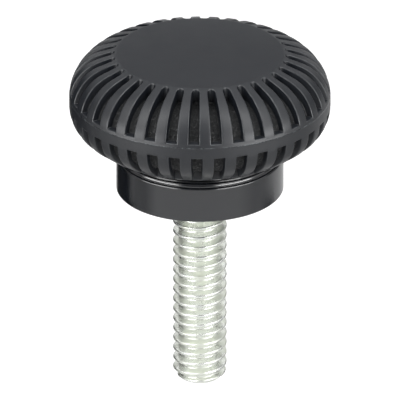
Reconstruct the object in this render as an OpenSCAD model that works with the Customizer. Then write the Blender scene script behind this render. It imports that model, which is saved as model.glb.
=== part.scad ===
// Ribbed clamping knob: a moulded mushroom head on a short hub, with a threaded steel stud.
// The origin is the centre of the hub's seat. +Z runs up through the head, and the stud points down.

/* [Head] */
// Largest diameter of the head, at the plain ring round its middle
head_d = 30.72; // [26:0.02:36.8]
// Height of the crown's middle above the seat
head_h = 17.72; // [16.2:0.01:21.3]
// Diameter of the plain disc on top
disc_d = 19.66; // [16:0.02:22]
// Rise of the crown from the disc's edge to its middle
crown_rise = 0.42; // [0.1:0.02:0.8]
// Height at which the shoulder begins, on the plain ring
shoulder_z = 11.67; // [11:0.01:12.5]
// Fall from the disc's edge to the height at which the shoulder's arc would be level
shoulder_drop = 0.43; // [0.05:0.01:0.7]
// Height at which the plain ring turns in to the belly
belly_z = 10.72; // [10.4:0.02:11]
// Radius of the belly's arc
belly_r = 3.8; // [3.4:0.01:4.6]
// Angle from the horizontal at which the belly's arc runs into its cone
belly_angle = 54; // [40:1:56]
// Height of the head's flat underside above the seat
under_z = 6.52; // [6.1:0.02:6.7]
// Rounding where the belly's cone meets the underside
rim_round = 0.6; // [0.2:0.05:0.8]

/* [Ribs] */
// Number of ribs round the head
rib_count = 36; // [24:1:44]
// Share of the pitch that is rib, the rest being pocket
rib_share = 0.52; // [0.35:0.005:0.65]
// Plain land between the disc's edge and the upper pockets
disc_land = 0.2; // [0.2:0.02:1]
// Height of the upper pockets' flat ends above the shoulder's beginning
ring_up = 0.87; // [0.5:0.01:1.3]
// Distance of the lower pockets' flat ends below the shoulder's beginning
ring_down = 0.9; // [0.7:0.01:1.3]
// Depth of the pockets beside the plain ring
pocket_depth = 0.8; // [0.5:0.05:1]
// Depth of the upper pockets' floor below the height at which the shoulder's arc would be level
pocket_top_depth = 1.4; // [0.8:0.05:1.8]
// Distance from the underside's outer corner to the lower pockets' end walls
lower_end_inset = 0.05; // [0:0.01:0.3]
// Turn of the lower mould half against the upper one, in degrees
mould_turn = 1.35; // [0:0.05:2]

/* [Hub] */
// Diameter of the hub
hub_d = 19.72; // [16:0.02:23.2]
// Height of the hub's side
hub_h = 4.32; // [3.5:0.01:5]
// Rounding of the hub's edge at the seat
hub_edge_r = 0.15; // [0.1:0.05:0.6]
// Rounding of the hub's edge at the step
hub_top_r = 0.22; // [0.04:0.01:0.22]
// Step in from the hub's side to the collar above it
collar_step = 0.24; // [0.23:0.01:0.28]
// Height of the collar above the hub's step
collar_h = 0.65; // [0.6:0.05:0.9]
// Rounding of the collar's upper edge
collar_round = 0.5; // [0.3:0.02:0.54]
// Step in from the hub's side to the neck under the head
neck_inset = 0.8; // [0.75:0.05:1.5]
// Hollow rounding between the neck and the underside
neck_round = 0.45; // [0.2:0.05:0.6]

/* [Stud] */
// Major diameter of the stud's thread
stud_d = 6.35; // [5.3:0.01:7.65]
// Length of the stud below the seat
stud_l = 24.6; // [20:0.1:30]
// Chamfer at the stud's tip
stud_chamfer = 0.75; // [0.4:0.05:1]
// Step in from the thread's crest to the plain shank inside the head
shank_step = 0.41; // [0.3:0.01:0.8]
// Width across the flats of the hexagon that keys the stud into the head
anchor_af = 11.1; // [9.2:0.1:13.4]
// Thickness of that hexagon
anchor_h = 4; // [3.2:0.1:4.8]
// Height of the hexagon's lower face above the seat
anchor_z = 7.25; // [6:0.05:8]
// Clearance round the moulded-in length
insert_gap = 0; // [0:0.01:0.05]
// Width of the shallow recess round the stud, which keeps the moulding's lip below the seat
relief_w = 0.35; // [0.3:0.05:1]
// Depth of that recess
relief_h = 0.3; // [0.1:0.05:0.5]

/* [Hidden] */
$fn = 96;

// A straight edge that runs into an arc aslant ends this far inside it, so that the two cross.
bite = 0.002;
past = 1;

head_r = head_d / 2;
disc_r = disc_d / 2;
disc_z = head_h - crown_rise;
crown_r = (disc_r * disc_r + crown_rise * crown_rise) / (2 * crown_rise);

// Shoulder: an arc that ends upright on the plain ring, and its tangent from the disc's edge.
shoulder_r = disc_z - shoulder_z - shoulder_drop;
shoulder_c = [head_r - shoulder_r, shoulder_z];
shoulder_a = tangent_angle([disc_r, disc_z] - shoulder_c, shoulder_r);

// Belly: an arc that starts upright below the ring, the cone that it runs into, and the rim's rounding.
belly_c = [head_r - belly_r, belly_z];
belly_end = on_circle(belly_c, belly_r, -belly_angle);
rim_r = belly_end[0] - (belly_end[1] - under_z) / tan(90 - belly_angle);
rim_c = [rim_r - rim_round * tan(45 - belly_angle / 2), under_z + rim_round];

hub_r = hub_d / 2;
collar_r = hub_r - collar_step;
collar_z = hub_h + collar_h;
neck_r = hub_r - neck_inset;

// Pockets: each floor is an arc inside the arc above it.
pitch = 360 / rib_count;
pocket_half = pitch * (1 - rib_share) / 2;
floor_side = head_r - pocket_depth;
upper_start = disc_r + disc_land;
upper_end_z = shoulder_z + ring_up;
upper_floor_r = shoulder_r - pocket_top_depth;
lower_start = rim_r + lower_end_inset;
lower_end_z = shoulder_z - ring_down;
lower_floor_r = belly_r - pocket_depth;

stud_r = stud_d / 2;
shank_r = stud_r - shank_step;

function on_circle(c, r, a) = c + r * [cos(a), sin(a)];

// Angle, about a circle's centre, at which a line from d touches it on the side away from the axis.
function tangent_angle(d, r) = atan2(d[1], d[0]) - acos(r / norm(d));

module box_section(r0, z0, r1, z1) {
    translate([r0, z0])
        square([r1 - r0, z1 - z0]);
}

// Quarter of a disc: outward from its centre and up (up = 1) or down (up = -1).
module quarter(c, r, up) {
    intersection() {
        translate(c)
            circle(r);
        box_section(c[0], up > 0 ? c[1] : c[1] - r, c[0] + r, up > 0 ? c[1] + r : c[1]);
    }
}

module crown_section() {
    intersection() {
        translate([0, head_h - crown_r])
            circle(crown_r, $fn = 720);
        box_section(0, disc_z - past, disc_r, head_h + past);
    }
}

module shoulder_section() {
    polygon([
        [0, belly_z],
        [head_r, belly_z],
        [head_r, shoulder_z],
        on_circle(shoulder_c, shoulder_r - bite, shoulder_a),
        [disc_r, disc_z],
        [0, disc_z]
    ]);
    quarter(shoulder_c, shoulder_r, 1);
}

module belly_section() {
    polygon([
        [0, under_z],
        [rim_c[0], under_z],
        on_circle(rim_c, rim_round - bite, -belly_angle),
        on_circle(belly_c, belly_r - bite, -belly_angle),
        [head_r, belly_z],
        [0, belly_z]
    ]);
    intersection() {
        quarter(belly_c, belly_r, -1);
        box_section(0, (belly_end[1] + under_z) / 2, head_r, belly_z);
    }
    quarter(rim_c, rim_round, -1);
}

module neck_section() {
    box_section(0, hub_edge_r, neck_r, under_z + past);
    difference() {
        box_section(neck_r - past, under_z - neck_round, neck_r + neck_round, under_z + past);
        translate([neck_r + neck_round, under_z - neck_round])
            circle(neck_round);
    }
}

module hub_section() {
    polygon([
        [0, 0],
        [hub_r - hub_edge_r, 0],
        [hub_r, hub_edge_r],
        [hub_r, hub_h - hub_top_r],
        [hub_r - hub_top_r, hub_h],
        [0, hub_h]
    ]);
    quarter([hub_r - hub_edge_r, hub_edge_r], hub_edge_r, -1);
    quarter([hub_r - hub_top_r, hub_h - hub_top_r], hub_top_r, 1);
}

module collar_section() {
    polygon([
        [0, hub_edge_r],
        [collar_r, hub_edge_r],
        [collar_r, collar_z - collar_round],
        [collar_r - collar_round, collar_z],
        [0, collar_z]
    ]);
    quarter([collar_r - collar_round, collar_z - collar_round], collar_round, 1);
}

module head_section() {
    crown_section();
    shoulder_section();
    belly_section();
    neck_section();
    collar_section();
    hub_section();
}

// What stays solid behind the upper pockets' floors, as a half section.
module upper_core_section() {
    c = [floor_side - upper_floor_r, shoulder_z];
    box_section(0, 0, c[0], c[1] + upper_floor_r);
    box_section(0, 0, floor_side, c[1]);
    quarter(c, upper_floor_r, 1);
}

module lower_core_section() {
    c = [floor_side - lower_floor_r, belly_z];
    box_section(0, c[1] - lower_floor_r, c[0], head_h);
    box_section(0, c[1], floor_side, head_h);
    quarter(c, lower_floor_r, -1);
}

// Wedge between two radial walls, in plan, with a round or a square inner end.
module blade_plan(start, round_end) {
    c = [start / (1 - sin(pocket_half)), 0];
    round_r = c[0] * sin(pocket_half);
    near = round_end
        ? on_circle(c, round_r - bite, 90 + pocket_half)
        : start * [cos(pocket_half), sin(pocket_half)];
    far = (head_r + past) * [cos(pocket_half), sin(pocket_half)];
    polygon([
        [near[0], -near[1]],
        [far[0], -far[1]],
        far,
        near
    ]);
    if (round_end)
        translate(c)
            circle(round_r);
}

module blades(start, round_end, z0, z1, turn) {
    for (i = [0 : rib_count - 1])
        rotate(i * pitch - 90 + turn)
            translate([0, 0, z0])
                linear_extrude(z1 - z0)
                    blade_plan(start, round_end);
}

module upper_pockets() {
    intersection() {
        rotate_extrude()
            difference() {
                box_section(upper_start - past, upper_end_z, head_r + past, head_h + past);
                upper_core_section();
            }
        blades(upper_start, true, shoulder_z, head_h + 2 * past, 0);
    }
}

module lower_pockets() {
    intersection() {
        rotate_extrude()
            difference() {
                box_section(lower_start - past, under_z - past, head_r + past, lower_end_z);
                lower_core_section();
            }
        blades(lower_start, false, under_z - 2 * past, shoulder_z, mould_turn);
    }
}

// The part of the stud that the head is moulded round, from a height up, with a gap all over.
module anchor(low, gap) {
    translate([0, 0, low])
        cylinder(h = anchor_z + anchor_h / 2 - low, r = shank_r + gap);
    translate([0, 0, anchor_z - gap])
        cylinder(h = anchor_h + 2 * gap, d = (anchor_af + 2 * gap) / cos(30), $fn = 6);
}

module stud_recess() {
    translate([0, 0, -past])
        cylinder(h = relief_h + past, r = stud_r + relief_w);
}

module knob_head() {
    color("#26282b")
        difference() {
            rotate_extrude()
                head_section();
            upper_pockets();
            lower_pockets();
            stud_recess();
            anchor(-past, insert_gap);
        }
}

module threaded_stud() {
    color("#c8ccc6")
        union() {
            anchor(-stud_l / 2, 0);
            translate([0, 0, stud_chamfer - stud_l])
                cylinder(h = stud_l - stud_chamfer, r = stud_r);
            translate([0, 0, -stud_l])
                cylinder(h = stud_chamfer, r1 = stud_r - stud_chamfer, r2 = stud_r);
        }
}

knob_head();
threaded_stud();
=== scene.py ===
"""Ribbed clamping knob with a threaded stud: the looks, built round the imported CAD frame.

Everything is in metres in the frame's own axes: the origin is the centre of the hub's seat,
+Z runs up through the head and the stud points down. Sizes below are in millimetres, as on a
maker's drawing, and become metres when a mesh is made.
"""

from __future__ import annotations

import logging
import math
from collections.abc import Mapping, Sequence
from dataclasses import dataclass, replace
from enum import IntEnum, StrEnum
from typing import Any

import bmesh
import bpy
import numpy as np
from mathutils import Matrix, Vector
from numpy.typing import NDArray


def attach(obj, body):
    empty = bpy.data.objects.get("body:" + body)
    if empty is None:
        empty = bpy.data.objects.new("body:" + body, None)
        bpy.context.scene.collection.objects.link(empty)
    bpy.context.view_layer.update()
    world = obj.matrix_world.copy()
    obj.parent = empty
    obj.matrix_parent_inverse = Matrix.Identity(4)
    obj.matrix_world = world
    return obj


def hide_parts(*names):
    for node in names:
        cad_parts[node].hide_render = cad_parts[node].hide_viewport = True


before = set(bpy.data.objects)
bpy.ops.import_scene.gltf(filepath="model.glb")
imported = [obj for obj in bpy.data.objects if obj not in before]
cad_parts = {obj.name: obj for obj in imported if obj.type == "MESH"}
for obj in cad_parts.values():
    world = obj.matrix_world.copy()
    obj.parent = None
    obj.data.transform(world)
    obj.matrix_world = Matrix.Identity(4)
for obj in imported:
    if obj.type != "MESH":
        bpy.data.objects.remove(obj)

Array = NDArray[np.float64]
Index = NDArray[np.int64]

MM = 0.001
LOG = logging.getLogger("knob")
NEAR_ZERO = 1e-7
NORMAL_WEIGHT = 80
SEARCH_STEPS = 4001
CARD_STEPS = 16


# ---------------------------------------------------------------- colour, nodes and meshes


def linear(code: str) -> tuple[float, float, float, float]:
    """Turn an sRGB hex colour into linear values.

    Args:
        code: Six hex digits with a leading hash.

    Returns:
        Linear red, green and blue, and an alpha of 1.
    """
    channels = [int(code[i : i + 2], 16) / 255 for i in (1, 3, 5)]
    red, green, blue = (
        c / 12.92 if c <= 0.04045 else ((c + 0.055) / 1.055) ** 2.4 for c in channels
    )
    return red, green, blue, 1.0


def add(
    tree: bpy.types.NodeTree,
    kind: str,
    settings: Mapping[str, Any] | None = None,
    values: Mapping[str | int, Any] | None = None,
    links: Mapping[str | int, bpy.types.NodeSocket] | None = None,
    out: str = "",
) -> bpy.types.NodeSocket | None:
    """Add a node with its settings, its input values and its input links.

    Args:
        tree: The node tree that takes the node.
        kind: The node's type name, less its "ShaderNode".
        settings: Node properties by name.
        values: Constant values by input name or number.
        links: Output sockets to join, by input name or number.
        out: The output's name, where it isn't the first in use.

    Returns:
        The node's output, if it has one.
    """
    node = tree.nodes.new("ShaderNode" + kind)
    for name, value in (settings or {}).items():
        setattr(node, name, value)
    for key, value in (values or {}).items():
        node.inputs[key].default_value = value
    for key, socket in (links or {}).items():
        tree.links.new(socket, node.inputs[key])
    return node.outputs[out] if out else next((o for o in node.outputs if o.enabled), None)


def blank_material(name: str) -> tuple[bpy.types.Material, bpy.types.NodeTree]:
    """Make a material whose node tree is empty.

    Args:
        name: The material's name.

    Returns:
        The material and its node tree.
    """
    made = bpy.data.materials.new(name)
    made.use_nodes = True
    made.node_tree.nodes.clear()
    return made, made.node_tree


def bearing(azimuth: float, elevation: float) -> Vector:
    """Return the unit way out from the knob, for degrees round from -Y towards +X and degrees up."""
    a, e = math.radians(azimuth), math.radians(elevation)
    return Vector((math.sin(a) * math.cos(e), -math.cos(a) * math.cos(e), math.sin(e)))


def put_mesh(
    name: str,
    points: Array,
    faces: Sequence[Index],
    attributes: Mapping[str, Array] | None = None,
    closed: bool = True,
) -> bpy.types.Object:
    """Make a mesh object from points in millimetres and arrays of faces.

    Args:
        name: The object's name.
        points: One row of x, y, z for each vertex, in millimetres.
        faces: Arrays of vertex numbers, one row for each face, of any width.
        attributes: Values to store on the vertices, by attribute name.
        closed: Whether it goes round the knob, and so is made to face outwards.

    Returns:
        The object, smooth shaded, at the origin.
    """
    mesh = bpy.data.meshes.new(name)
    mesh.from_pydata((points * MM).tolist(), [], [f for part in faces for f in part.tolist()])
    if closed:
        work = bmesh.new()
        work.from_mesh(mesh)
        if work.calc_volume(signed=True) < 0:
            bmesh.ops.reverse_faces(work, faces=work.faces)
        work.to_mesh(mesh)
        work.free()
    mesh.polygons.foreach_set("use_smooth", np.ones(len(mesh.polygons), dtype=bool))
    for key, data in (attributes or {}).items():
        layer = mesh.attributes.new(key, "FLOAT", "POINT")
        layer.data.foreach_set("value", data.astype(np.float32).ravel())
    mesh.update()
    made = bpy.data.objects.new(name, mesh)
    bpy.context.scene.collection.objects.link(made)
    return made


def even_normals(piece: bpy.types.Object) -> None:
    """Weight a piece's shading normals by face area, so that flats stay flat beside roundings.

    Args:
        piece: The piece that takes the modifier.
    """
    modifier = piece.modifiers.new("face_weighted_normals", "WEIGHTED_NORMAL")
    modifier.mode = "FACE_AREA"
    modifier.weight = NORMAL_WEIGHT
    modifier.keep_sharp = False


def ring_grid(rows: int, columns: int, start: int = 0) -> Index:
    """Number the quads of a grid whose columns close into a ring.

    Args:
        rows: Rings of vertices.
        columns: Vertices in a ring.
        start: The first vertex's number.

    Returns:
        Quads as rows of four vertex numbers.
    """
    i, j = np.meshgrid(np.arange(rows - 1), np.arange(columns), indexing="ij")
    k = (j + 1) % columns
    low, high = i * columns, (i + 1) * columns
    return np.stack([low + j, low + k, high + k, high + j], -1).reshape(-1, 4) + start


def join_rings(fine: int, fine_start: int, coarse: int, coarse_start: int) -> Index:
    """Join a ring of many vertices to one of fewer with triangles.

    Each coarse step fans to the fine vertices beside it: the first half from its first corner and
    the rest from its second, with one triangle between.

    Args:
        fine: Vertices in the fine ring, a whole multiple of coarse.
        fine_start: The fine ring's first vertex.
        coarse: Vertices in the coarse ring.
        coarse_start: The coarse ring's first vertex.

    Returns:
        Triangles as rows of three vertex numbers.
    """
    step = fine // coarse
    half = (step + 1) // 2
    c, k = np.meshgrid(np.arange(coarse), np.arange(step), indexing="ij")
    a = fine_start + (c * step + k) % fine
    b = fine_start + (c * step + k + 1) % fine
    apex = coarse_start + np.where(k < half, c, (c + 1) % coarse)
    fans = np.stack([a, b, apex], -1).reshape(-1, 3)
    c = np.arange(coarse)
    middle = fine_start + (c * step + half) % fine
    bridge = np.stack([middle, coarse_start + (c + 1) % coarse, coarse_start + c], -1)
    return np.concatenate([fans, bridge])


def fan(columns: int, ring_start: int, pole: int) -> Index:
    """Close a ring to one vertex.

    Args:
        columns: Vertices in the ring.
        ring_start: The ring's first vertex.
        pole: The vertex at the axis.

    Returns:
        Triangles as rows of three vertex numbers.
    """
    j = np.arange(columns)
    return np.stack([ring_start + j, ring_start + (j + 1) % columns, np.full(columns, pole)], -1)


def lathe(section: Array, angles: Array) -> Array:
    """Turn a half section round the axis: each point's radius times the angle's cosine and sine.

    Args:
        section: Rows of radius and height.
        angles: Angles round the axis, in radians.

    Returns:
        Points, ring after ring.
    """
    r, z = section[:, :1], section[:, 1:]
    level = np.broadcast_to(z, (len(section), len(angles)))
    return np.stack([r * np.cos(angles), r * np.sin(angles), level], -1).reshape(-1, 3)


def arc(centre: Array, radius: float, first: float, last: float, count: int) -> Array:
    """Points along an arc: the centre plus the radius times the angle's cosine and sine.

    Args:
        centre: Radius and height of the arc's centre.
        radius: The arc's own radius.
        first: Angle of the first point, in degrees.
        last: Angle of the last point, in degrees.
        count: How many points.

    Returns:
        Rows of radius and height.
    """
    a = np.radians(np.linspace(first, last, count))
    return np.asarray(centre) + radius * np.stack([np.cos(a), np.sin(a)], -1)


class Path:
    """A half section's outline that is read by the distance along it."""

    def __init__(self, *parts: Array) -> None:
        """Join runs of points into one outline.

        Args:
            parts: Rows of radius and height, run after run.
        """
        points = np.concatenate(parts)
        keep = np.r_[True, np.linalg.norm(np.diff(points, axis=0), axis=1) > NEAR_ZERO]
        self.points = points[keep]
        self.along = np.r_[0.0, np.cumsum(np.linalg.norm(np.diff(self.points, axis=0), axis=1))]

    def at(self, distance: Array) -> Array:
        """Return radius and height at distances along the outline."""
        return np.stack([np.interp(distance, self.along, line) for line in self.points.T], -1)

    def nearest(self, point: Sequence[float]) -> float:
        """Return the distance along the outline at the vertex nearest a point."""
        return float(self.along[np.argmin(np.linalg.norm(self.points - np.asarray(point), axis=1))])

    def where(self, axis: int, value: float, low: float, high: float) -> float:
        """Find where the outline crosses a radius or a height.

        Args:
            axis: 0 for a radius, 1 for a height.
            value: The radius or height.
            low: Distance at which the search starts.
            high: Distance at which it ends.

        Returns:
            The distance along the outline.
        """
        s = np.linspace(low, high, SEARCH_STEPS)
        return float(s[np.argmin(np.abs(self.at(s)[:, axis] - value))])


# ---------------------------------------------------------------- finishes


class SurfaceMask(StrEnum):
    """Names of the vertex attributes that the finishes read."""

    FLOOR = "pocket_floor"
    # Lips and flash line: real wear in the roughness, partly painted highlight in the colour.
    WEAR = "edge_wear_and_highlight"
    ROOT = "thread_root"


class Skin(IntEnum):
    """The skins that the steel of the mould gives the head, numbered as its material slots; the eroded
    skin's weaker mirror is painted shade.
    """

    SATIN = 0
    # Its weaker mirror is painted shade in the deep pockets.
    ERODED = 1
    POLISHED = 2


@dataclass(frozen=True)
class MouldedNylon:
    """One skin of black glass-filled nylon, injection moulded.

    The ribs and the disc are satin, the pockets' floors have a coarse spark-eroded grain and the
    hub is polished. The eye sees soft grey sheen on the ribs, glinting specks in the pockets and
    clear reflections round the hub. The floors are also painted darker than the skin: painted
    shade for the little light that gets into the pockets.

    Satin, eroded and glint are the roughness of the skin, of the floor's grain and of its brightest
    specks. Waver is how far the roughness drifts either way, and rubbed_gloss how much smoother a
    rubbed edge is. Level is how strongly the skin mirrors, where 0.5 is what the index alone gives.
    The pale colour of the lips and the flash line is partly wear and partly painted highlight.
    """

    name: str = "black_moulded_nylon"
    skin: str = "#151920"
    # Darker colour of the pockets' floors: painted shade.
    shaded_floor_skin: str = "#0f1113"
    # Pale colour of the lips and the flash line: partly wear, partly painted highlight.
    worn_and_highlit: str = "#7d8386"
    satin: float = 0.42
    eroded: float = 0.7
    glint: float = 0.22
    waver: float = 0.03
    rubbed_gloss: float = 0.4
    ior: float = 1.58
    level: float = 0.5
    grain_mm: float = 0.34
    grain_depth_mm: float = 0.2
    satin_grain_mm: float = 0.16
    satin_depth_mm: float = 0.01
    cloud_mm: float = 4.0
    scuff_mm: float = 1.1

    def build(self) -> bpy.types.Material:
        """Make the material.

        Returns:
            The material, ready for a mesh's slot.
        """
        made, tree = blank_material(self.name)
        place = add(tree, "TexCoord", out="Object")
        floor, wear_and_highlight = (
            add(tree, "Attribute", {"attribute_name": mark}, out="Fac")
            for mark in (SurfaceMask.FLOOR, SurfaceMask.WEAR)
        )
        # Real spark-eroded grain is about 0.1 mm and a satin skin's finer still; both are drawn
        # coarser so that they show. Clouds are a few millimetres wide, as the flow of plastic
        # leaves them, and the pale edge, partly wear and partly painted highlight, breaks up about
        # once a millimetre.
        grain, fine, cloud, scuff = (
            add(
                tree,
                "TexNoise",
                values={"Scale": 1 / (size * MM), "Detail": detail, "Roughness": harshness},
                links={"Vector": place},
            )
            for size, detail, harshness in (
                (self.grain_mm, 3.0, 0.6),
                (self.satin_grain_mm, 2.0, 0.5),
                (self.cloud_mm, 2.0, 0.5),
                (self.scuff_mm, 3.0, 0.7),
            )
        )
        # Each noise is stretched between two of its levels: specks, slow drifts and broken edges.
        specks, drift, broken = (
            add(
                tree,
                "MapRange",
                values={"From Min": low, "From Max": high, "To Min": first, "To Max": last},
                links={"Value": noise},
            )
            for noise, low, high, first, last in (
                (grain, 0.52, 0.66, self.eroded, self.glint),
                (cloud, 0.3, 0.7, -self.waver, self.waver),
                (scuff, 0.42, 0.64, 0.0, 0.95),
            )
        )
        gloss = add(tree, "Mix", {"data_type": "FLOAT"}, {2: self.satin}, {0: floor, 3: specks})
        even = add(tree, "Math", {"operation": "ADD"}, links={0: gloss, 1: drift})
        roughness = add(
            tree, "Math", {"operation": "MULTIPLY_ADD"}, {1: -self.rubbed_gloss}, {0: wear_and_highlight, 2: even}
        )
        # The pale edge, partly wear and partly painted highlight, breaks up where the scuffs do, and the
        # grain's depth fades with the floor.
        rubbed_and_highlit, pitted = (
            add(tree, "Math", {"operation": "MULTIPLY"}, links=dict(enumerate(pair)))
            for pair in ((wear_and_highlight, broken), (grain, floor))
        )
        # The floors take a darker colour, which is painted shade for the little light in the pockets.
        skin = add(
            tree,
            "Mix",
            {"data_type": "RGBA"},
            {"A": linear(self.skin), "B": linear(self.shaded_floor_skin)},
            {"Factor": floor},
        )
        # The lips and the flash line are painted pale: partly wear, partly painted highlight.
        colour = add(
            tree, "Mix", {"data_type": "RGBA"}, {"B": linear(self.worn_and_highlit)}, {"Factor": rubbed_and_highlit, "A": skin}
        )
        satin_bump = add(
            tree,
            "Bump",
            values={"Strength": 0.25, "Distance": self.satin_depth_mm * MM},
            links={"Height": fine},
        )
        bump = add(
            tree,
            "Bump",
            values={"Strength": 1.0, "Distance": self.grain_depth_mm * MM},
            links={"Height": pitted, "Normal": satin_bump},
        )
        shader = add(
            tree,
            "BsdfPrincipled",
            values={"IOR": self.ior, "Specular IOR Level": self.level},
            links={"Base Color": colour, "Roughness": roughness, "Normal": bump},
        )
        add(tree, "OutputMaterial", links={"Surface": shader})
        return made


@dataclass(frozen=True)
class ZincPlate:
    """Steel with bright zinc plate and a clear passivate.

    The plate is a soft mirror with a faint yellow-green cast, a shade duller in the thread's roots,
    so the eye sees pale silver bands. The passivate scatters a fifth of the light, so it is a
    little less than full metal and stays pale where it mirrors something dark.

    Plate, warm and root are the colours of the plate, of thicker passivate and of the roots.
    """

    name: str = "zinc_plated_steel"
    plate: str = "#f7faf6"
    warm: str = "#eff3e7"
    root: str = "#f4f7ef"
    metallic: float = 0.8
    roughness: float = 0.25
    cloud_mm: float = 2.2
    pit_mm: float = 0.12
    pit_depth_mm: float = 0.01

    def build(self) -> bpy.types.Material:
        """Make the material.

        Returns:
            The material, ready for a mesh's slot.
        """
        made, tree = blank_material(self.name)
        place = add(tree, "TexCoord", out="Object")
        root = add(tree, "Attribute", {"attribute_name": SurfaceMask.ROOT}, out="Fac")
        # Clouds of passivate are nearly two turns of thread wide. The plate's own crystals are far
        # below a tenth of a millimetre; they are drawn coarser so that they show.
        cloud, pits = (
            add(
                tree,
                "TexNoise",
                values={"Scale": 1 / (size * MM), "Detail": detail},
                links={"Vector": place},
            )
            for size, detail in ((self.cloud_mm, 3.0), (self.pit_mm, 2.0))
        )
        tint, roughness = (
            add(
                tree,
                "MapRange",
                values={"From Min": low, "From Max": high, "To Min": first, "To Max": last},
                links={"Value": cloud},
            )
            for low, high, first, last in (
                (0.38, 0.62, 0.0, 1.0),
                (0.3, 0.7, self.roughness - 0.05, self.roughness + 0.1),
            )
        )
        plate = add(
            tree,
            "Mix",
            {"data_type": "RGBA"},
            {"A": linear(self.plate), "B": linear(self.warm)},
            {"Factor": tint},
        )
        colour = add(
            tree, "Mix", {"data_type": "RGBA"}, {"B": linear(self.root)}, {"Factor": root, "A": plate}
        )
        bump = add(
            tree,
            "Bump",
            values={"Strength": 0.3, "Distance": self.pit_depth_mm * MM},
            links={"Height": pits},
        )
        shader = add(
            tree,
            "BsdfPrincipled",
            values={"Metallic": self.metallic},
            links={"Base Color": colour, "Roughness": roughness, "Normal": bump},
        )
        add(tree, "OutputMaterial", links={"Surface": shader})
        return made


# ---------------------------------------------------------------- the moulded head


@dataclass(frozen=True)
class Pocket:
    """One ring of pockets on the grip, read along the head's outline.

    Attributes:
        first: Distance along the outline where the pockets start.
        last: Distance where they end.
        floor: Outline of the floor, from the first end to the last.
    """

    first: float
    last: float
    floor: Path

    def below(self, outer: Path, distance: Array) -> tuple[Array, Array]:
        """Find the way down from the outline to the floor.

        The floor's point lies as far along its outline as the outer point does along the pocket.

        Args:
            outer: The head's outline.
            distance: Distances along it.

        Returns:
            Unit directions in radius and height, and the depth along them.
        """
        s = np.clip(distance, self.first, self.last)
        share = (s - self.first) / (self.last - self.first)
        gap = self.floor.at(share * self.floor.along[-1]) - outer.at(s)
        depth = np.linalg.norm(gap, axis=-1)
        return gap / depth[..., None], depth


@dataclass(frozen=True)
class Grip:
    """The ribbed grip as one grid of rings.

    Attributes:
        points: Vertices in millimetres, ring after ring.
        floor: How far each vertex belongs to a pocket's floor, from 0 to 1.
        wear_and_highlight: How far each vertex lies on a lip or the flash line, from 0 to 1. It makes
            the skin smoother there and paints it pale, partly wear and partly painted highlight.
        sunk: How far down each vertex lies, where 1 is the floor.
        rings: How many rings there are.
    """

    points: Array
    floor: Array
    wear_and_highlight: Array
    sunk: Array
    rings: int

    @property
    def around(self) -> int:
        """Return how many vertices a ring has."""
        return len(self.points) // self.rings


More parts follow.
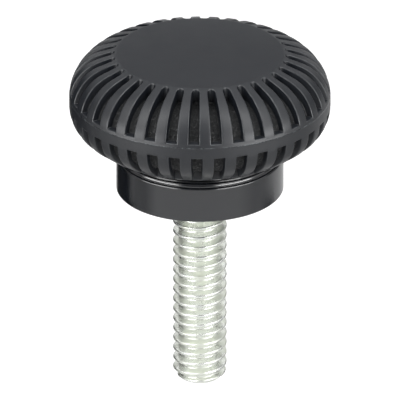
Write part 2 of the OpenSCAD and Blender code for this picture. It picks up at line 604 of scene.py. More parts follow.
@dataclass
class MouldedHead:
    """The head: domed disc, ribbed shoulder and belly, plain ring, rim, neck, collar and hub."""

    finishes: Mapping[Skin, MouldedNylon]
    name: str = "moulded_head"
    # The disc, the grip's two arcs and the rim.
    head_r: float = 15.36
    head_h: float = 17.72
    disc_r: float = 9.83
    crown_rise: float = 0.42
    shoulder_z: float = 11.67
    shoulder_drop: float = 0.43
    belly_z: float = 10.72
    belly_r: float = 3.8
    belly_angle: float = 54.0
    under_z: float = 6.52
    rim_round: float = 0.6
    # The ribs and the two rings of pockets.
    rib_count: int = 36
    rib_share: float = 0.52
    disc_land: float = 0.2
    ring_up: float = 0.87
    ring_down: float = 0.9
    pocket_depth: float = 0.8
    pocket_top_depth: float = 1.4
    lower_end_inset: float = 0.05
    mould_turn: float = 1.35
    # The hub, the collar with its two steps, and the neck.
    hub_r: float = 9.86
    hub_h: float = 4.32
    hub_edge_r: float = 0.15
    hub_top_r: float = 0.22
    collar_step: float = 0.24
    collar_h: float = 0.65
    step_upper: tuple[float, float, float] = (0.355, 0.03, 0.155)
    step_lower: tuple[float, float, float] = (0.08, 0.29, 0.16)
    step_lean: float = 20.0
    neck_inset: float = 0.8
    neck_round: float = 0.45
    # The recess round the stud and the cavity that its shank and hexagon fill.
    recess_r: float = 3.525
    recess_h: float = 0.3
    cavity_r: float = 2.766
    anchor_r: float = 6.41
    anchor_low: float = 7.25
    anchor_high: float = 11.25
    # Fine roundings, the flash line, and the reach of wear and painted highlight, of grain and painted
    # shade, and of polish.
    polish_top: float = 5.6
    disc_fringe: float = 0.3
    lip: float = 0.12
    wall: float = 0.06
    fillet: float = 0.12
    seam_z: float = 12.09
    flash: float = 0.015
    upper_wear_and_highlight: float = 0.42
    lower_wear_and_highlight: float = 0.2
    floor_from: float = 0.75
    eroded_and_shaded_from: float = 0.4
    bend_whole: float = 0.3
    bend_gone: float = 1.0
    tip_clearance: float = 0.0005
    # How closely the mesh is drawn.
    upper_rows: int = 13
    lower_rows: int = 9
    crown_rows: int = 12
    crown_hole_r: float = 0.9
    seam_land: float = 0.07
    crease_land: float = 0.08

    def __post_init__(self) -> None:
        """Work out the arcs' centres and the pockets' ends from the sizes."""
        self.disc_z = self.head_h - self.crown_rise
        self.crown_ball = (self.disc_r**2 + self.crown_rise**2) / (2 * self.crown_rise)
        self.shoulder_r = self.disc_z - self.shoulder_z - self.shoulder_drop
        self.shoulder_c = np.array([self.head_r - self.shoulder_r, self.shoulder_z])
        self.belly_c = np.array([self.head_r - self.belly_r, self.belly_z])
        end = arc(self.belly_c, self.belly_r, -self.belly_angle, 0, 2)[0]
        slope = math.tan(math.radians(90 - self.belly_angle))
        rim_r = end[0] - (end[1] - self.under_z) / slope
        inward = self.rim_round * math.tan(math.radians(45 - self.belly_angle / 2))
        self.rim_c = np.array([rim_r - inward, self.under_z + self.rim_round])
        self.upper_start_r = self.disc_r + self.disc_land
        self.lower_end_r = rim_r + self.lower_end_inset
        self.coarse = 4 * self.rib_count

    def dome(self, radius: Array) -> Array:
        """Return radius and height of points on the disc's dome."""
        height = self.head_h - self.crown_ball + np.sqrt(self.crown_ball**2 - radius**2)
        return np.stack([radius, height], -1)

    def outline(self) -> Path:
        """Draw the grip's outline from the disc's fringe to the rim's underside.

        It runs over the disc's edge, the shoulder, the plain ring and the belly.

        Returns:
            The outline, in radius and height.
        """
        away = np.array([self.disc_r, self.disc_z]) - self.shoulder_c
        lean = math.acos(self.shoulder_r / float(np.linalg.norm(away)))
        touch = math.degrees(math.atan2(away[1], away[0]) - lean)
        return Path(
            self.dome(np.linspace(self.disc_r - self.disc_fringe, self.disc_r, 30)),
            arc(self.shoulder_c, self.shoulder_r, touch, 0, 900),
            np.array([[self.head_r, self.belly_z]]),
            arc(self.belly_c, self.belly_r, 0, -self.belly_angle, 500),
            arc(self.rim_c, self.rim_round, -self.belly_angle, -90, 120),
        )

    def upper_pocket(self, outer: Path) -> Pocket:
        """Place the upper pockets, whose floor is an arc inside the shoulder's.

        Args:
            outer: The head's outline.

        Returns:
            The upper ring of pockets.
        """
        ring_top = self.shoulder_z + self.ring_up
        radius = self.shoulder_r - self.pocket_top_depth
        centre = np.array([self.head_r - self.pocket_depth - radius, self.shoulder_z])
        last = math.degrees(math.asin(self.ring_up / radius))
        flat = np.array([[self.upper_start_r, centre[1] + radius]])
        floor = Path(flat, arc(centre, radius, 90, last, 400))
        equator = outer.nearest([self.head_r, self.shoulder_z])
        return Pocket(
            outer.where(0, self.upper_start_r, 0, equator / 2),
            outer.where(1, ring_top, 0, equator),
            floor,
        )

    def lower_pocket(self, outer: Path) -> Pocket:
        """Place the lower pockets, whose floor is an arc inside the belly's.

        Args:
            outer: The head's outline.

        Returns:
            The lower ring of pockets.
        """
        ring_low = self.shoulder_z - self.ring_down
        radius = self.belly_r - self.pocket_depth
        side = self.head_r - self.pocket_depth
        centre = np.array([side - radius, self.belly_z])
        first = -math.degrees(math.asin(max(self.belly_z - ring_low, 0.0) / radius))
        last = -math.degrees(math.acos((self.lower_end_r - centre[0]) / radius))
        equator = outer.nearest([self.head_r, self.belly_z])
        end = float(outer.along[-1])
        return Pocket(
            outer.where(1, ring_low, equator, end),
            outer.where(0, self.lower_end_r, equator, end),
            Path(np.array([[side, ring_low]]), arc(centre, radius, first, last, 400)),
        )

    def sink(self, inside: Array, depth: Array) -> Array:
        """Turn the distance inside a pocket's outline into the depth below the skin.

        Outside the outline the lip rounds over a quarter circle. Inside it a steep wall runs down,
        and a quarter circle fillet leads on to the floor.

        Args:
            inside: Distance inside the outline, negative outside it.
            depth: The floor's depth.

        Returns:
            Depth below the skin.
        """
        lip, wall, fillet = self.lip, self.wall, self.fillet
        over = np.clip(inside + lip, 0, lip)
        rounding = lip - np.sqrt(np.maximum(lip**2 - over**2, 0))
        down = np.clip(inside / wall, 0, 1) * (depth - lip - fillet)
        out = np.clip(wall + fillet - inside, 0, fillet)
        foot = np.where(inside > wall, np.sqrt(np.maximum(fillet**2 - out**2, 0)), 0)
        return rounding + down + foot

    def stations(self, outer: Path, upper: Pocket, lower: Pocket) -> tuple[Array, Array, Array]:
        """Choose the rings of the grip's mesh, close together at lips, walls and fillets.

        Args:
            outer: The head's outline.
            upper: The upper pockets.
            lower: The lower pockets.

        Returns:
            Distances along the outline, the distance inside the nearest pocket's two ends, and
            +1 for a ring that reads the upper pockets or -1 for one that reads the lower.
        """
        lip = -self.lip * np.array([1.0, 0.72, 0.45, 0.2])
        foot = self.wall + self.fillet * np.array([0.0, 0.2, 0.55, 1.0])
        edge = np.r_[lip, 0.0, foot]
        reach = edge[-1]

        def pocket_rows(pocket: Pocket, floor_rows: int) -> tuple[Array, Array]:
            """Place the rings across one pocket.

            Args:
                pocket: The pocket.
                floor_rows: How many rings cross its floor.

            Returns:
                Distances along the outline and distances inside the pocket's nearer end.
            """
            inner = np.linspace(pocket.first + reach, pocket.last - reach, floor_rows + 2)[1:-1]
            s = np.r_[pocket.first + edge, inner, pocket.last - edge[::-1]]
            ends = np.r_[edge, np.minimum(inner - pocket.first, pocket.last - inner), edge[::-1]]
            return s, ends

        upper_s, upper_in = pocket_rows(upper, self.upper_rows)
        lower_s, lower_in = pocket_rows(lower, self.lower_rows)
        seam = outer.where(1, self.seam_z, upper.last, lower.first)
        near_seam = seam + self.seam_land * np.array([-1, 0, 1])
        ring = np.r_[near_seam, np.linspace(near_seam[-1], lower_s[0], 5)[1:-1]]
        crease = outer.nearest([self.disc_r, self.disc_z])
        land = np.array([0.0, crease - self.crease_land, crease])
        tail = np.array([lower_s[-1] * 0.4 + outer.along[-1] * 0.6, outer.along[-1]])
        s = np.r_[land, upper_s, ring, lower_s, tail]
        # A ring that crosses no pocket counts as far outside them.
        plain = [np.full(len(rows), -self.head_r) for rows in (land, ring, tail)]
        ends = np.r_[plain[0], upper_in, plain[1], lower_in, plain[2]]
        which = np.where(s < near_seam[-1], 1.0, -1.0)
        return s, ends, which

    def columns(self) -> tuple[Array, Array]:
        """Choose the columns between a pocket's middle and its lip.

        Near the wall they keep their distances in millimetres, because the lips and fillets keep
        their size while the pockets widen outwards. Further in they share out what is left.

        Returns:
            Distances inside the wall in millimetres, negative on the lip, and shares of the way
            from the fillet's foot back to the pocket's middle.
        """
        lip = -self.lip * np.array([0.2, 0.45, 0.72, 1.0])
        foot = self.wall + self.fillet * np.array([1.0, 0.55, 0.2, 0.0])
        return np.r_[foot, 0.0, lip], np.array([1.0, 0.66, 0.33])

    def grip(self) -> Grip:
        """Work out the ribbed grip as one grid.

        A vertex is the outline's point, moved towards the pocket's floor by the sink for the
        shorter of its distances inside the pocket's walls and ends. At the round ends the rings
        bend with the pocket's outline in plan.

        Returns:
            The grip's grid.
        """
        outer = self.outline()
        upper, lower = self.upper_pocket(outer), self.lower_pocket(outer)
        s, ends, which = self.stations(outer, upper, lower)
        near, inner = self.columns()
        pitch = 2 * math.pi / self.rib_count
        half = pitch * (1 - self.rib_share) / 2
        radius = outer.at(s)[:, 0]

        # Columns of half a pitch, from the pocket's middle to the rib's: angle from the middle.
        foot_angle = half - near[0] / radius[:, None]
        middle = foot_angle * (1 - inner[None])
        walls = half - near[None] / radius[:, None]
        lip_angle = half + self.lip / radius[:, None]
        rib = lip_angle + (pitch / 2 - lip_angle) * np.array([[0.4, 0.75, 1.0]])
        side = np.concatenate([middle, walls, rib], 1)
        far = radius[:, None]
        inside = np.concatenate(
            [(half - middle) * far, np.broadcast_to(near, walls.shape), (half - rib) * far], 1
        )
        # One whole pitch: the pocket's middle, out to the rib's middle, and the mirrored way back.
        angle = np.concatenate([side, (pitch - side)[:, -2:0:-1]], 1)
        inside = np.concatenate([inside, inside[:, -2:0:-1]], 1)
        steps = pitch * np.arange(self.rib_count)[None, :, None]
        angle = (angle[:, None, :] + steps).reshape(len(s), -1)
        inside = np.tile(inside, (1, self.rib_count))

        # Round ends: how much further out the pocket's outline lies than at the pocket's middle.
        local = np.abs((angle + pitch / 2) % pitch - pitch / 2)
        c = self.upper_start_r / (1 - math.sin(half))
        a = np.minimum(local, half)
        bend = c * np.cos(a) - np.sqrt(np.maximum((c * math.sin(half)) ** 2 - (c * np.sin(a)) ** 2, 0))
        bend = bend - self.upper_start_r
        start_lip = upper.first - self.lip
        crease = outer.nearest([self.disc_r, self.disc_z])
        rise = np.clip((s - crease) / (start_lip - crease), 0, 1)
        whole, gone = upper.first + self.bend_whole, upper.last - self.bend_gone
        fall = np.clip((gone - s) / (gone - whole), 0, 1)
        grow = np.where(s < start_lip, rise, fall) * (which > 0)
        along = s[:, None] + bend * grow[:, None]

        skin = outer.at(along)
        ways, depths = zip(*(p.below(outer, along) for p in (upper, lower)))
        top = (which > 0)[:, None]
        way = np.where(top[..., None], ways[0], ways[1])
        depth = np.where(top, depths[0], depths[1])
        end = np.broadcast_to(ends[:, None], inside.shape)
        both_out = (end < 0) & (inside < 0)
        distance = np.where(both_out, -np.hypot(end, inside), np.minimum(end, inside))
        sunk = self.sink(distance, depth)
        section = skin + way * sunk[..., None]

        # The flash line: a fine ridge where the two halves of the mould meet.
        seam = outer.where(1, self.seam_z, upper.last, lower.first)
        at_seam = (np.abs(s - seam) < NEAR_ZERO)[:, None]
        section[..., 0] += self.flash * at_seam

        # The lower half of the mould sits turned against the upper.
        first, last = upper.last + self.lip, lower.first - self.lip
        turn = math.radians(self.mould_turn) * np.clip((s - first) / (last - first), 0, 1)
        angle = angle - math.pi / 2 + turn[:, None]
        points = np.stack(
            [section[..., 0] * np.cos(angle), section[..., 0] * np.sin(angle), section[..., 1]], -1
        )
        sunk = np.clip(sunk / depth, 0, 1)
        floor = np.clip((sunk - self.floor_from) / (1 - self.floor_from), 0, 1)
        # The lips and the flash line are marked: handling rubs them smoother, and their pale colour is
        # partly wear and partly painted highlight.
        rubbed_and_highlit = np.where(top, self.upper_wear_and_highlight, self.lower_wear_and_highlight)
        wear_and_highlight = np.clip(1 - np.abs(distance / self.lip + 0.5) / 0.5, 0, 1) * rubbed_and_highlit
        wear_and_highlight = np.maximum(wear_and_highlight, at_seam)
        return Grip(points.reshape(-1, 3), floor.reshape(-1), wear_and_highlight.reshape(-1), sunk.reshape(-1), len(s))

    def crown_rings(self) -> Array:
        """Place the disc's rings, from near its edge in towards the axis.

        Returns:
            Rows of radius and height.
        """
        return self.dome(
            np.linspace(self.disc_r - 2 * self.disc_fringe, self.crown_hole_r, self.crown_rows)
        )

    def collar_rings(self) -> Array:
        """Work out the collar's two fine steps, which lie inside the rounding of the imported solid.

        Each step is a top, a small rounding and a steep cone; the cone goes out by its height
        times the tangent of its lean.

        Returns:
            Rows of the distance in from the collar's side and down from its top.
        """
        lean = math.tan(math.radians(self.step_lean))
        upper, upper_down, tall = self.step_upper
        lower, lower_down, deep = self.step_lower
        foot, foot_down = upper - tall * lean, upper_down + tall
        return np.array(
            [
                [upper + 0.17, 0.0],
                [upper + 0.04, 0.0],
                [upper + 0.01, upper_down / 2],
                [upper, upper_down],
                [foot, foot_down],
                [foot - 0.01, foot_down + 0.012],
                [foot - 0.03, foot_down + 0.016],
                [lower + 0.08, foot_down + 0.02],
                [lower + 0.02, lower_down - 0.03],
                [lower, lower_down],
                [lower - deep * lean, lower_down + deep],
                [0.0, lower_down + deep + 0.08],
            ]
        )

    def under_rings(self) -> Array:
        """Draw the section below the grip: underside, neck, collar, hub, seat and the stud's cavity.

        Returns:
            Rows of radius and height, from the rim in to the axis.
        """
        neck_r = self.hub_r - self.neck_inset
        collar_r = self.hub_r - self.collar_step
        collar_z = self.hub_h + self.collar_h
        hollow = [neck_r + self.neck_round, self.under_z - self.neck_round]
        under = np.linspace(self.rim_c[0] - 0.25, hollow[0] + 0.3, 4)
        edge, top = self.hub_edge_r, self.hub_top_r
        side = np.linspace(self.hub_h - top - 0.1, edge + 0.1, 5)
        return np.concatenate(
            [
                np.stack([under, np.full(4, self.under_z)], -1),
                arc(hollow, self.neck_round, 90, 180, 7),
                [[neck_r, collar_z + 0.15], [neck_r, collar_z + 0.02]],
                [[neck_r + 0.02, collar_z]],
                [collar_r, collar_z] - self.collar_rings(),
                [[collar_r, self.hub_h + 0.03], [collar_r, self.hub_h]],
                [[collar_r + 0.01, self.hub_h]],
                arc([self.hub_r - top, self.hub_h - top], top, 90, 0, 4),
                np.stack([np.full(5, self.hub_r), side], -1),
                arc([self.hub_r - edge, edge], edge, 0, -90, 6),
                [[self.hub_r - edge - 0.3, 0.0], [6.4, 0.0], [self.recess_r + 0.04, 0.0]],
                [[self.recess_r, 0.0], [self.recess_r, 0.04]],
                [[self.recess_r, self.recess_h - 0.04], [self.recess_r, self.recess_h]],
                [[self.cavity_r + 0.04, self.recess_h], [self.cavity_r, self.recess_h]],
                [[self.cavity_r, self.recess_h + 0.04]],
                [[self.cavity_r, self.anchor_low - 0.05], [self.cavity_r, self.anchor_low]],
                [[self.anchor_r, self.anchor_low], [self.anchor_r, self.anchor_high]],
                [[self.anchor_r - 0.1, self.anchor_high], [1.0, self.anchor_high]],
            ]
        )

    def build(self) -> bpy.types.Object:
        """Make the head's mesh, dress it and let it stand for its CAD node.

        Returns:
            The head.
        """
        grip = self.grip()
        crown, under = self.crown_rings(), self.under_rings()
        angles = np.arange(self.coarse) * 2 * math.pi / self.coarse - math.pi / 2
        points = np.concatenate(
            [
                grip.points,
                lathe(crown, angles),
                [[0, 0, self.head_h - self.tip_clearance]],
                lathe(under, angles + math.radians(self.mould_turn)),
                [[0, 0, self.anchor_high]],
            ]
        )
        crown_at = len(grip.points)
        pole = crown_at + len(crown) * self.coarse
        under_at = pole + 1
        low_pole = under_at + len(under) * self.coarse
        faces = [
            ring_grid(grip.rings, grip.around),
            join_rings(grip.around, 0, self.coarse, crown_at)[:, ::-1],
            ring_grid(len(crown), self.coarse, crown_at)[:, ::-1],
            fan(self.coarse, pole - self.coarse, pole)[:, ::-1],
            join_rings(grip.around, crown_at - grip.around, self.coarse, under_at),
            ring_grid(len(under), self.coarse, under_at),
            fan(self.coarse, low_pole - self.coarse, low_pole),
        ]
        floor, wear_and_highlight, sunk = (
            np.r_[values, np.zeros(len(points) - len(values))]
            for values in (grip.floor, grip.wear_and_highlight, grip.sunk)
        )
        head = put_mesh(self.name, points, faces, {SurfaceMask.FLOOR: floor, SurfaceMask.WEAR: wear_and_highlight})
        for skin in Skin:
            head.data.materials.append(self.finishes[skin].build())
        corners = np.zeros(len(head.data.loops), dtype=np.int64)
        head.data.loops.foreach_get("vertex_index", corners)
        first = np.zeros(len(head.data.polygons), dtype=np.int64)
        head.data.polygons.foreach_get("loop_start", first)
        depth, height = (
            np.add.reduceat(values[corners], first) / np.diff(np.r_[first, len(corners)])
            for values in (sunk, points[:, 2])
        )
        # Deep faces take the eroded skin, whose weaker mirror is painted shade.
        slot = np.where(depth > self.eroded_and_shaded_from, Skin.ERODED, Skin.SATIN)
        slot = np.where(height < self.polish_top, Skin.POLISHED, slot)
        head.data.polygons.foreach_set("material_index", slot.astype(np.int32))
        even_normals(head)
        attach(head, "root")
        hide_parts("knob_head")
        return head


# ---------------------------------------------------------------- the stud


@dataclass
class ThreadedStud:
    """The stud: a right-hand rolled thread, with the shank and the hexagon inside the head.

    Crests and roots take the shares of a pitch that are given either side of their middles, and
    flank_curve is the flanks' share of curve, from 0 for straight ones.
    """

    finish: ZincPlate
    name: str = "zinc_plated_stud"
    crest_r: float = 3.175
    thread_depth: float = 0.76
    pitch: float = 1.27
    length: float = 24.6
    chamfer: float = 0.75
    above_seat: float = 0.6
    valley_z: float = -5.01
    valley_angle: float = 182.68
    around: int = 96
    per_turn: int = 18
    crest_share: float = 0.075
    root_share: float = 0.39
    flank_curve: float = 0.38
    tip_r: float = 0.6
    shank_r: float = 2.765
    shank_lap: float = 0.3
    anchor_sides: int = 48
    anchor_af: float = 11.1
    anchor_low: float = 7.25
    anchor_high: float = 11.25

    def thread_radius(self, turn: Array) -> Array:
        """Return the radius at a share of a turn past a crest's middle.

        The flanks rise in a straight line between a root and a crest whose corners are rounded:
        a ramp clipped at both ends, with its clipping softened by a cube curve.

        Args:
            turn: Share of a pitch past the crest's middle.

        Returns:
            The thread's radius.
        """
        off = np.abs((turn + 0.5) % 1 - 0.5)
        x = np.clip((off - self.crest_share) / (self.root_share - self.crest_share), 0, 1)
        soft = x * x * (3 - 2 * x)
        fall = (1 - self.flank_curve) * x + self.flank_curve * soft
        return self.crest_r - self.thread_depth * fall

    def thread(self) -> bpy.types.Object:
        """Make the threaded length.

        The grid's rings climb one pitch a turn with the thread, so that crests and roots run along
        its lines. It is made long and then cut flat at the tip and inside the head.

        Returns:
            The threaded length, closed at both ends.
        """
        turns = int(math.ceil((self.length + self.above_seat) / self.pitch)) + 3
        rows = turns * self.per_turn + 1
        low = -self.length - 1.5 * self.pitch
        i, j = np.meshgrid(np.arange(rows), np.arange(self.around + 1), indexing="ij")
        angle = j / self.around * 2 * math.pi
        z = low + self.pitch * (i / self.per_turn + j / self.around)
        lead = np.radians(self.valley_angle)
        phase = (z - self.valley_z) / self.pitch - (angle - lead) / (2 * math.pi) + 0.5
        r = self.thread_radius(phase)
        cone = self.crest_r - self.chamfer + (z + self.length)
        root = np.clip((self.crest_r - r) / self.thread_depth, 0, 1)
        r = np.minimum(r, np.maximum(cone, self.tip_r))
        points = np.stack([r * np.cos(angle), r * np.sin(angle), z], -1)
        # The last column lies one turn past the first, so it takes the first one's vertices.
        number = i * self.around + j
        number[:, -1] = (i[:, -1] + self.per_turn) * self.around
        keep = rows - self.per_turn
        quads = np.stack(
            [number[:-1, :-1], number[:-1, 1:], number[1:, 1:], number[1:, :-1]], -1
        )[: keep - 1].reshape(-1, 4)
        made = put_mesh(
            self.name,
            points[:, :-1].reshape(-1, 3),
            [quads],
            {SurfaceMask.ROOT: root[:, :-1].reshape(-1)},
        )
        work = bmesh.new()
        work.from_mesh(made.data)
        for height, outward in ((-self.length, -1.0), (self.above_seat, 1.0)):
            cut = bmesh.ops.bisect_plane(
                work,
                geom=work.verts[:] + work.edges[:] + work.faces[:],
                plane_co=(0, 0, height * MM),
                plane_no=(0, 0, outward),
                clear_outer=True,
            )
            rim = [e for e in cut["geom_cut"] if isinstance(e, bmesh.types.BMEdge)]
            bmesh.ops.contextual_create(work, geom=rim)
        loose = [v for v in work.verts if not v.link_faces]
        bmesh.ops.delete(work, geom=loose, context="VERTS")
        bmesh.ops.recalc_face_normals(work, faces=work.faces[:])
        if work.calc_volume(signed=True) < 0:
            bmesh.ops.reverse_faces(work, faces=work.faces)
        work.to_mesh(made.data)
        work.free()
        return made

    def anchor(self) -> bpy.types.Object:
        """Make the shank and the hexagon that the head is moulded round.

        Returns:
            The two as one closed piece.
        """
        sides = self.anchor_sides
        angles = np.arange(sides) * 2 * math.pi / sides
        hexagon = self.anchor_af / 2 / np.cos((angles + math.pi / 6) % (math.pi / 3) - math.pi / 6)
        low, high = self.anchor_low, self.anchor_high
        heights = np.array([self.above_seat - self.shank_lap, low, low, high])
        shank = np.full(sides, self.shank_r)
        radii = np.stack([shank, shank, hexagon, hexagon])
        levels = np.broadcast_to(heights[:, None], radii.shape)
        rings = np.stack([radii * np.cos(angles), radii * np.sin(angles), levels], -1)
        points = np.concatenate([rings.reshape(-1, 3), [[0, 0, heights[0]], [0, 0, high]]])
        faces = [
            ring_grid(4, sides),
            fan(sides, 0, 4 * sides)[:, ::-1],
            fan(sides, 3 * sides, 4 * sides + 1),
        ]
        plain = {SurfaceMask.ROOT: np.zeros(len(points))}
        return put_mesh(self.name + "_anchor", points, faces, plain)

    def build(self) -> bpy.types.Object:
        """Make the stud, dress it and let it stand for its CAD node.

        Returns:
            The stud.
        """
        stud, anchor = self.thread(), self.anchor()
        work = bmesh.new()
        work.from_mesh(stud.data)
        work.from_mesh(anchor.data)
        work.to_mesh(stud.data)
        work.free()
        bpy.data.objects.remove(anchor)
        stud.data.polygons.foreach_set("use_smooth", np.ones(len(stud.data.polygons), dtype=bool))
        stud.data.materials.append(self.finish.build())
        even_normals(stud)
        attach(stud, "root")
        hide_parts("threaded_stud")
        return stud


# ---------------------------------------------------------------- the studio


@dataclass(frozen=True)
class Card:
    """A card or a dimming net bent round the knob, hidden from the camera.

    Attributes:
        name: The card's name.
        azimuth: First and last degrees round from -Y, towards +X.
        elevation: First and last degrees above the horizon.
        distance: Millimetres from the knob's middle.
        cover: Share of the light that it stops: 1 for a card, less for a net.
        feather: Degrees over which its sides thin out.
        shade: The card's colour.
        glow: How bright it shines in reflections, where white paper is 1; 0 for a plain card.
    """

    name: str
    azimuth: tuple[float, float]
    elevation: tuple[float, float]
    distance: float
    cover: float = 1.0
    feather: float = 4.0
    shade: str = "#0c0c0c"
    glow: float = 0.0


@dataclass(frozen=True)
class SoftBox:
    """A rectangular soft box that faces the head.

    Attributes:
        name: The lamp's name.
        azimuth: Degrees round from -Y, towards +X.
        elevation: Degrees above the horizon.
        distance: Millimetres from the head's middle.
        size: Width and height in millimetres.
        radiance: How bright its face is, where white paper in full light is 1.
    """

    name: str
    azimuth: float
    elevation: float
    distance: float
    size: tuple[float, float]
    radiance: float


@dataclass
class Studio:
    """A white room with a one-way paper floor, soft boxes, cards, nets and the camera.

    The lamps and the room light a white upward face to about 1. The cards and nets are there for
    the glossy faces to mirror: they throw no shadow and the camera does not see them.
    """

    floor_z: float = -60.0
    floor_size: float = 6000.0
    head_z: float = 8.0
    world_level: float = 0.25
    paper: str = "#f2f2f2"
    paper_lift: float = 0.52
    mirror_lift: float = 0.12
    azimuth: float = 2.68
    elevation: float = 25.3
    distance: float = 1800.0
    look_z: float = -1.76
    lens_px: float = 15273.0
    centre_px: tuple[float, float] = (199.87, 200.0)
    frame_px: float = 400.0
    sensor_mm: float = 36.0
    boxes: tuple[SoftBox, ...] = (
        SoftBox("soft_box_right", 48, 44, 900, (480, 800), 2.9),
        SoftBox("soft_box_left", -48, 44, 900, (480, 800), 2.9),
        SoftBox("top_light", 0, 85, 1000, (800, 800), 0.9),
    )
    cards: tuple[Card, ...] = (
        # For the ribs and the collar in front, and for the disc.
        Card("black_flag_front", (-26, 26), (4, 68), 700, 0.68, shade="#101010"),
        Card("low_card_front", (-21, 21), (6, 17), 60, 0.8),
        Card("grey_card_back", (158, 202), (6, 44), 800, shade="#c6c6c6"),
        # For the thread's flanks, which get dark patches.
        Card("thread_flag_left", (-147, -119), (38, 62), 800, 0.97, 3.0),
        Card("thread_flag_right", (119, 147), (38, 62), 800, 0.88, 3.0),
        # For the hub's side, those below 100 mm, and for the ribs at the sides, those at 800 mm,
        # which stand too low for the stud's pale edges to mirror.
        Card("black_card_left", (-158, -98), (-27, 8), 88, 0.97, 10.0),
        Card("side_flag_left", (-156, -96), (-2, 23), 800, 0.97, 6.0),
        Card("side_net_left", (-96, -46), (-2, 23), 800, 0.55, 10.0),
        Card("side_flag_right", (100, 156), (-2, 23), 800, 0.85, 6.0),
        Card("net_left", (-112, -56), (-27, 8), 92, 0.5, 18.0),
        Card("net_right", (56, 124), (-27, 8), 92, 0.34, 24.0),
        # For the thread's crests.
        Card("stud_net_left", (-118, -88), (-52, -22), 60, 0.85, 8.0),
        Card("stud_net_right", (90, 120), (-52, -22), 60, 0.75, 8.0),
        # For the collar's two bright lines, from below the disc's plane.
        Card("low_strip_left", (-74, -22), (7, 16.7), 60, 1.0, 5.0, "#ffffff", 9.0),
        Card("low_strip_right", (22, 74), (7, 16.7), 60, 1.0, 5.0, "#ffffff", 9.0),
    )

    def background_rays(self, tree: bpy.types.NodeTree) -> bpy.types.NodeSocket:
        """Pick out the rays that show the background: seen straight, mirrored or through glass.

        Args:
            tree: The node tree that takes the nodes.

        Returns:
            A socket that is 1 for those rays and 0 for the rest.
        """
        path = rays = add(tree, "LightPath", out="Is Camera Ray")
        for kind in ("Is Glossy Ray", "Is Transmission Ray"):
            rays = add(
                tree, "Math", {"operation": "MAXIMUM"}, links={0: rays, 1: path.node.outputs[kind]}
            )
        return rays

    def world(self) -> None:
        """Make the surroundings: white where the background shows, plain light elsewhere."""
        made = bpy.data.worlds.new("white_room")
        made.use_nodes = True
        tree = made.node_tree
        tree.nodes.clear()
        level = add(
            tree,
            "Mix",
            {"data_type": "FLOAT"},
            {2: self.world_level, 3: 1.0},
            {0: self.background_rays(tree)},
        )
        light = add(tree, "Background", values={"Color": (1, 1, 1, 1)}, links={"Strength": level})
        add(tree, "OutputWorld", links={"Surface": light})
        bpy.context.scene.world = made

    def floor(self) -> None:
        """Make the plain pale floor, lifted to white where it shows as background."""
        half, z = self.floor_size / 2, self.floor_z
        points = np.array([[-half, -half, z], [half, -half, z], [half, half, z], [-half, half, z]])
        made = put_mesh("floor", points, [np.array([[0, 1, 2, 3]])], closed=False)
        # Matt paper gives the eye a plain white ground with a soft shadow.
        paper, tree = blank_material("white_paper")
        seen = add(tree, "LightPath", out="Is Camera Ray")
        mirrored = add(
            tree,
            "Math",
            {"operation": "MULTIPLY"},
            {1: self.mirror_lift},
            {0: self.background_rays(tree)},
        )
        lift = add(
            tree,
            "Math",
            {"operation": "MULTIPLY_ADD"},
            {1: self.paper_lift - self.mirror_lift},
            {0: seen, 2: mirrored},
        )
        shader = add(
            tree,
            "BsdfPrincipled",
            values={
                "Base Color": linear(self.paper),
                "Roughness": 0.9,
                "Specular IOR Level": 0.1,
                "Emission Color": (1, 1, 1, 1),
            },
            links={"Emission Strength": lift},
        )
        # From below the paper is clear, so that the underside shows.
        side = add(tree, "NewGeometry", out="Backfacing")
        clear = add(tree, "BsdfTransparent")
        one_way = add(tree, "MixShader", links={0: side, 1: shader, 2: clear})
        add(tree, "OutputMaterial", links={"Surface": one_way})
        made.data.materials.append(paper)

    def card(self, card: Card) -> None:
        """Hang one card: a patch of a sphere about the knob, on a grid of azimuth and elevation.

        A point is the distance times the azimuth's sine and negative cosine, both times the
        elevation's cosine, and times the elevation's sine for its height.

        Args:
            card: What the card is and where it hangs.
        """
        turn, rise = (
            np.radians(np.linspace(*span, CARD_STEPS + 1)) for span in (card.azimuth, card.elevation)
        )
        a, e = np.meshgrid(turn, rise, indexing="ij")
        way = np.stack([np.sin(a) * np.cos(e), -np.cos(a) * np.cos(e), np.sin(e)], -1)
        i, j = np.meshgrid(np.arange(CARD_STEPS), np.arange(CARD_STEPS), indexing="ij")
        first, across = i * (CARD_STEPS + 1) + j, CARD_STEPS + 1
        quads = np.stack([first, first + 1, first + across + 1, first + across], -1)
        inside = np.minimum(a - turn[0], turn[-1] - a) / math.radians(card.feather)
        cover = card.cover * np.clip(inside, 0, 1)
        made = put_mesh(
            card.name,
            way.reshape(-1, 3) * card.distance,
            [quads.reshape(-1, 4)],
            {"cover": cover.reshape(-1)},
        )
        # Dull board lays an even dark or grey field in what glossy faces mirror; a glowing one a line.
        board, tree = blank_material(card.name + "_board")
        stops = add(tree, "Attribute", {"attribute_name": "cover"}, out="Fac")
        if card.glow:
            sheet = add(tree, "Emission", values={"Color": linear(card.shade), "Strength": card.glow})
        else:
            sheet = add(tree, "BsdfDiffuse", values={"Color": linear(card.shade)})
        clear = add(tree, "BsdfTransparent")
        shader = add(tree, "MixShader", links={0: stops, 1: clear, 2: sheet})
        add(tree, "OutputMaterial", links={"Surface": shader})
        made.data.materials.append(board)
        made.visible_camera = False
        made.visible_shadow = False
        made.visible_diffuse = not card.glow

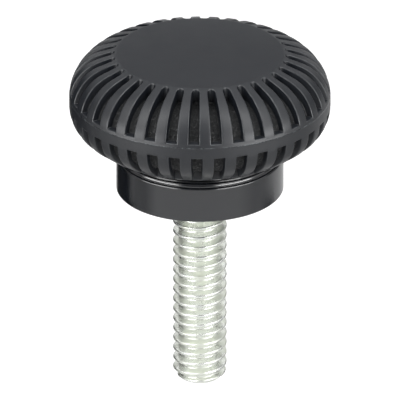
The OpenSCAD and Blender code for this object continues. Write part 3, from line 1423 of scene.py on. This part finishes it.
    def lamp(self, box: SoftBox) -> None:
        """Hang one soft box; its power is its radiance times its area times pi.

        Args:
            box: What the lamp is and where it hangs.
        """
        data = bpy.data.lights.new(box.name, "AREA")
        data.shape = "RECTANGLE"
        data.size, data.size_y = box.size[0] * MM, box.size[1] * MM
        data.energy = box.radiance * math.pi * data.size * data.size_y
        lamp = bpy.data.objects.new(box.name, data)
        back = bearing(box.azimuth, box.elevation)
        lamp.location = Vector((0, 0, self.head_z * MM)) + back * box.distance * MM
        lamp.rotation_mode = "QUATERNION"
        lamp.rotation_quaternion = back.to_track_quat("Z", "Y")
        lamp.visible_camera = False
        bpy.context.scene.collection.objects.link(lamp)

    def camera(self) -> None:
        """Place the camera on its azimuth and elevation, looking at a point on the stud's axis."""
        data = bpy.data.cameras.new("camera")
        data.sensor_width = self.sensor_mm
        data.lens = self.lens_px / self.frame_px * data.sensor_width
        data.shift_x = (self.frame_px / 2 - self.centre_px[0]) / self.frame_px
        data.shift_y = (self.centre_px[1] - self.frame_px / 2) / self.frame_px
        data.clip_start, data.clip_end = 0.01, 20.0
        camera = bpy.data.objects.new("camera", data)
        back = bearing(self.azimuth, self.elevation)
        camera.location = Vector((0, 0, self.look_z * MM)) + back * self.distance * MM
        camera.rotation_mode = "QUATERNION"
        camera.rotation_quaternion = (-back).to_track_quat("-Z", "Y")
        bpy.context.scene.collection.objects.link(camera)
        bpy.context.scene.camera = camera

    def build(self) -> None:
        """Set the stage: room, floor, cards, soft boxes, camera and plain colour handling."""
        self.world()
        self.floor()
        for card in self.cards:
            self.card(card)
        for box in self.boxes:
            self.lamp(box)
        self.camera()
        bpy.context.scene.view_settings.view_transform = "Standard"


def main() -> None:
    logging.basicConfig(level=logging.INFO, format="%(message)s")
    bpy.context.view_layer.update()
    Studio().build()
    satin = MouldedNylon()
    finishes = {
        Skin.SATIN: satin,
        # The eroded floors' weaker mirror, level 0.3, is painted shade for the deep pockets.
        Skin.ERODED: replace(satin, name="spark_eroded_nylon_floor_shaded", level=0.3),
        Skin.POLISHED: replace(satin, name="polished_nylon_hub", satin=0.13, level=0.78),
    }
    for maker in (MouldedHead(finishes), ThreadedStud(ZincPlate())):
        piece = maker.build()
        LOG.info("%s: %d faces", piece.name, len(piece.data.polygons))


if __name__ == "__main__":
    main()
